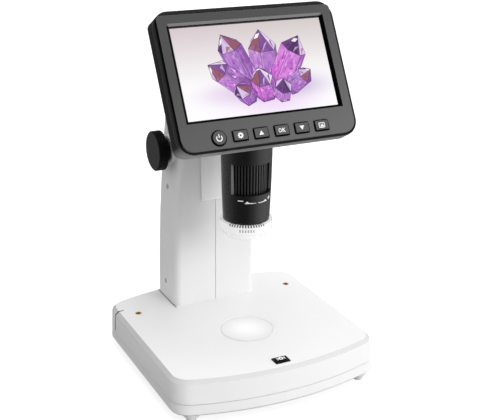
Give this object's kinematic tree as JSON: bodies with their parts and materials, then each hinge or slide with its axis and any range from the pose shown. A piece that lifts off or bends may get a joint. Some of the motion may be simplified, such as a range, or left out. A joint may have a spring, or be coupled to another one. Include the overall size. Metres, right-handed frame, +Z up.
{
  "type": "lcd digital microscope",
  "caption": "Free-standing digital microscope: lit stage on a white base, column with rack focus knobs, lens barrel with ribbed zoom wheel, and a leaning screen with a row of keys.",
  "frame": {"origin": "middle of the footprint, on the plane that the rubber feet stand on", "axes": "+X to the user's right, +Y to the back, +Z up; the screen and the stage face -Y"},
  "size_m": [0.1368, 0.1414, 0.2288],
  "materials": {
    "white_shell": "fine satin moulded ABS",
    "white_cover": "satin moulded ABS",
    "foot_rubber": "matte pale rubber",
    "screw_steel": "plain machined",
    "dark_steel": "plain",
    "rod_steel": "ground",
    "insert_brass": "turned",
    "frosted_disc": "frosted translucent acrylic",
    "board_green": "solder resist",
    "board_white": "white solder resist",
    "grey_plastic": "moulded acetal",
    "black_plastic": "fine satin moulded ABS",
    "barrel_black": "semi-gloss moulded ABS",
    "wheel_black": "soft-touch ribbed",
    "knob_black": "semi-gloss, knurled rim",
    "button_black": "semi-gloss",
    "display_front": "fine matte texture",
    "display_dark": "fine matte texture",
    "lcd_screen": "lit screen behind a polariser",
    "lens_glass": "polished",
    "clear_plastic": "clear moulded acrylic"
  },
  "bodies": {
    "stand": {"base_top_shell": "white_shell", "base_bottom_cover": "white_cover", "base_feet": "foot_rubber", "base_screws": "screw_steel", "ballast_plate": "dark_steel", "stage_disc": "frosted_disc", "stage_light_board": "board_green", "stage_inserts": "insert_brass", "light_button_frame": "black_plastic", "power_board": "board_green", "dc_socket": "black_plastic", "column_left_shell": "white_shell", "column_right_shell": "white_shell", "column_screws": "screw_steel", "column_foot_plate": "dark_steel", "column_foot_screws": "screw_steel", "column_top_block": "grey_plastic", "guide_rods": "rod_steel", "shaft_bushes": "insert_brass"},
    "focus_drive": {"focus_shaft": "rod_steel", "pinion_gear": "insert_brass", "knob_left": "knob_black", "knob_right": "knob_black"},
    "light_key": {"light_button": "button_black"},
    "head": {"carriage_block": "grey_plastic", "focus_rack": "rod_steel", "slide_plate": "white_shell", "head_arm": "white_shell", "head_screws": "screw_steel", "head_housing": "black_plastic", "head_cover": "black_plastic", "hinge_bracket": "rod_steel", "hinge_pin": "rod_steel", "barrel_shell": "barrel_black", "lens_sleeve": "black_plastic", "wheel_retainer": "insert_brass", "sensor_board": "board_green", "nose_ring": "clear_plastic", "nose_light_board": "board_white"},
    "zoom_wheel": {"magnification_wheel": "wheel_black"},
    "lens": {"lens_carrier": "black_plastic", "objective_lens": "lens_glass"},
    "display": {"display_rear_cover": "display_dark", "display_front_frame": "display_front", "lcd_panel": "lcd_screen", "display_main_board": "board_green", "button_board": "board_green", "display_screws": "screw_steel", "display_knuckle": "dark_steel"},
    "power_key": {"power_button": "button_black"},
    "menu_key": {"menu_button": "button_black"},
    "up_key": {"up_button": "button_black"},
    "ok_key": {"ok_button": "button_black"},
    "down_key": {"down_button": "button_black"},
    "capture_key": {"capture_button": "button_black"}
  },
  "joints": [
    {"name": "head_focus", "type": "slide", "parent": "stand", "child": "head", "axis": [0, 0, 1], "range_m": [-0.034, 0.008]},
    {"name": "focus_knobs", "type": "hinge", "parent": "stand", "child": "focus_drive", "pos_m": [0, 0.0515, 0.1315], "axis": [-1, 0, 0], "range_deg": [-313.2, 76.8]},
    {"name": "light_press", "type": "slide", "parent": "stand", "child": "light_key", "axis": [0, 0, -1], "range_m": [0, 0.0008], "stiffness_N_per_m": 600},
    {"name": "zoom_turn", "type": "hinge", "parent": "head", "child": "zoom_wheel", "pos_m": [0, -0.0096, 0.1275], "axis": [0, 0, 1], "range_deg": [-152, 152]},
    {"name": "lens_shift", "type": "slide", "parent": "head", "child": "lens", "axis": [0, 0, 1], "range_m": [-0.005, 0.005]},
    {"name": "display_lean", "type": "hinge", "parent": "head", "child": "display", "pos_m": [0, -0.005, 0.1828], "axis": [-1, 0, 0], "range_deg": [0, 35]},
    {"name": "power_press", "type": "slide", "parent": "display", "child": "power_key", "axis": [0, 0.8738, -0.4863], "range_m": [0, 0.0005], "stiffness_N_per_m": 400},
    {"name": "menu_press", "type": "slide", "parent": "display", "child": "menu_key", "axis": [0, 0.8738, -0.4863], "range_m": [0, 0.0005], "stiffness_N_per_m": 400},
    {"name": "up_press", "type": "slide", "parent": "display", "child": "up_key", "axis": [0, 0.8738, -0.4863], "range_m": [0, 0.0005], "stiffness_N_per_m": 400},
    {"name": "ok_press", "type": "slide", "parent": "display", "child": "ok_key", "axis": [0, 0.8738, -0.4863], "range_m": [0, 0.0005], "stiffness_N_per_m": 400},
    {"name": "down_press", "type": "slide", "parent": "display", "child": "down_key", "axis": [0, 0.8738, -0.4863], "range_m": [0, 0.0005], "stiffness_N_per_m": 400},
    {"name": "capture_press", "type": "slide", "parent": "display", "child": "capture_key", "axis": [0, 0.8738, -0.4863], "range_m": [0, 0.0005], "stiffness_N_per_m": 400}
  ],
  "couplings": [
    {"joint": "focus_knobs", "follows": "head_focus", "rad_per_m": 158.73},
    {"joint": "zoom_turn", "follows": "lens_shift", "rad_per_m": 523.6}
  ]
}
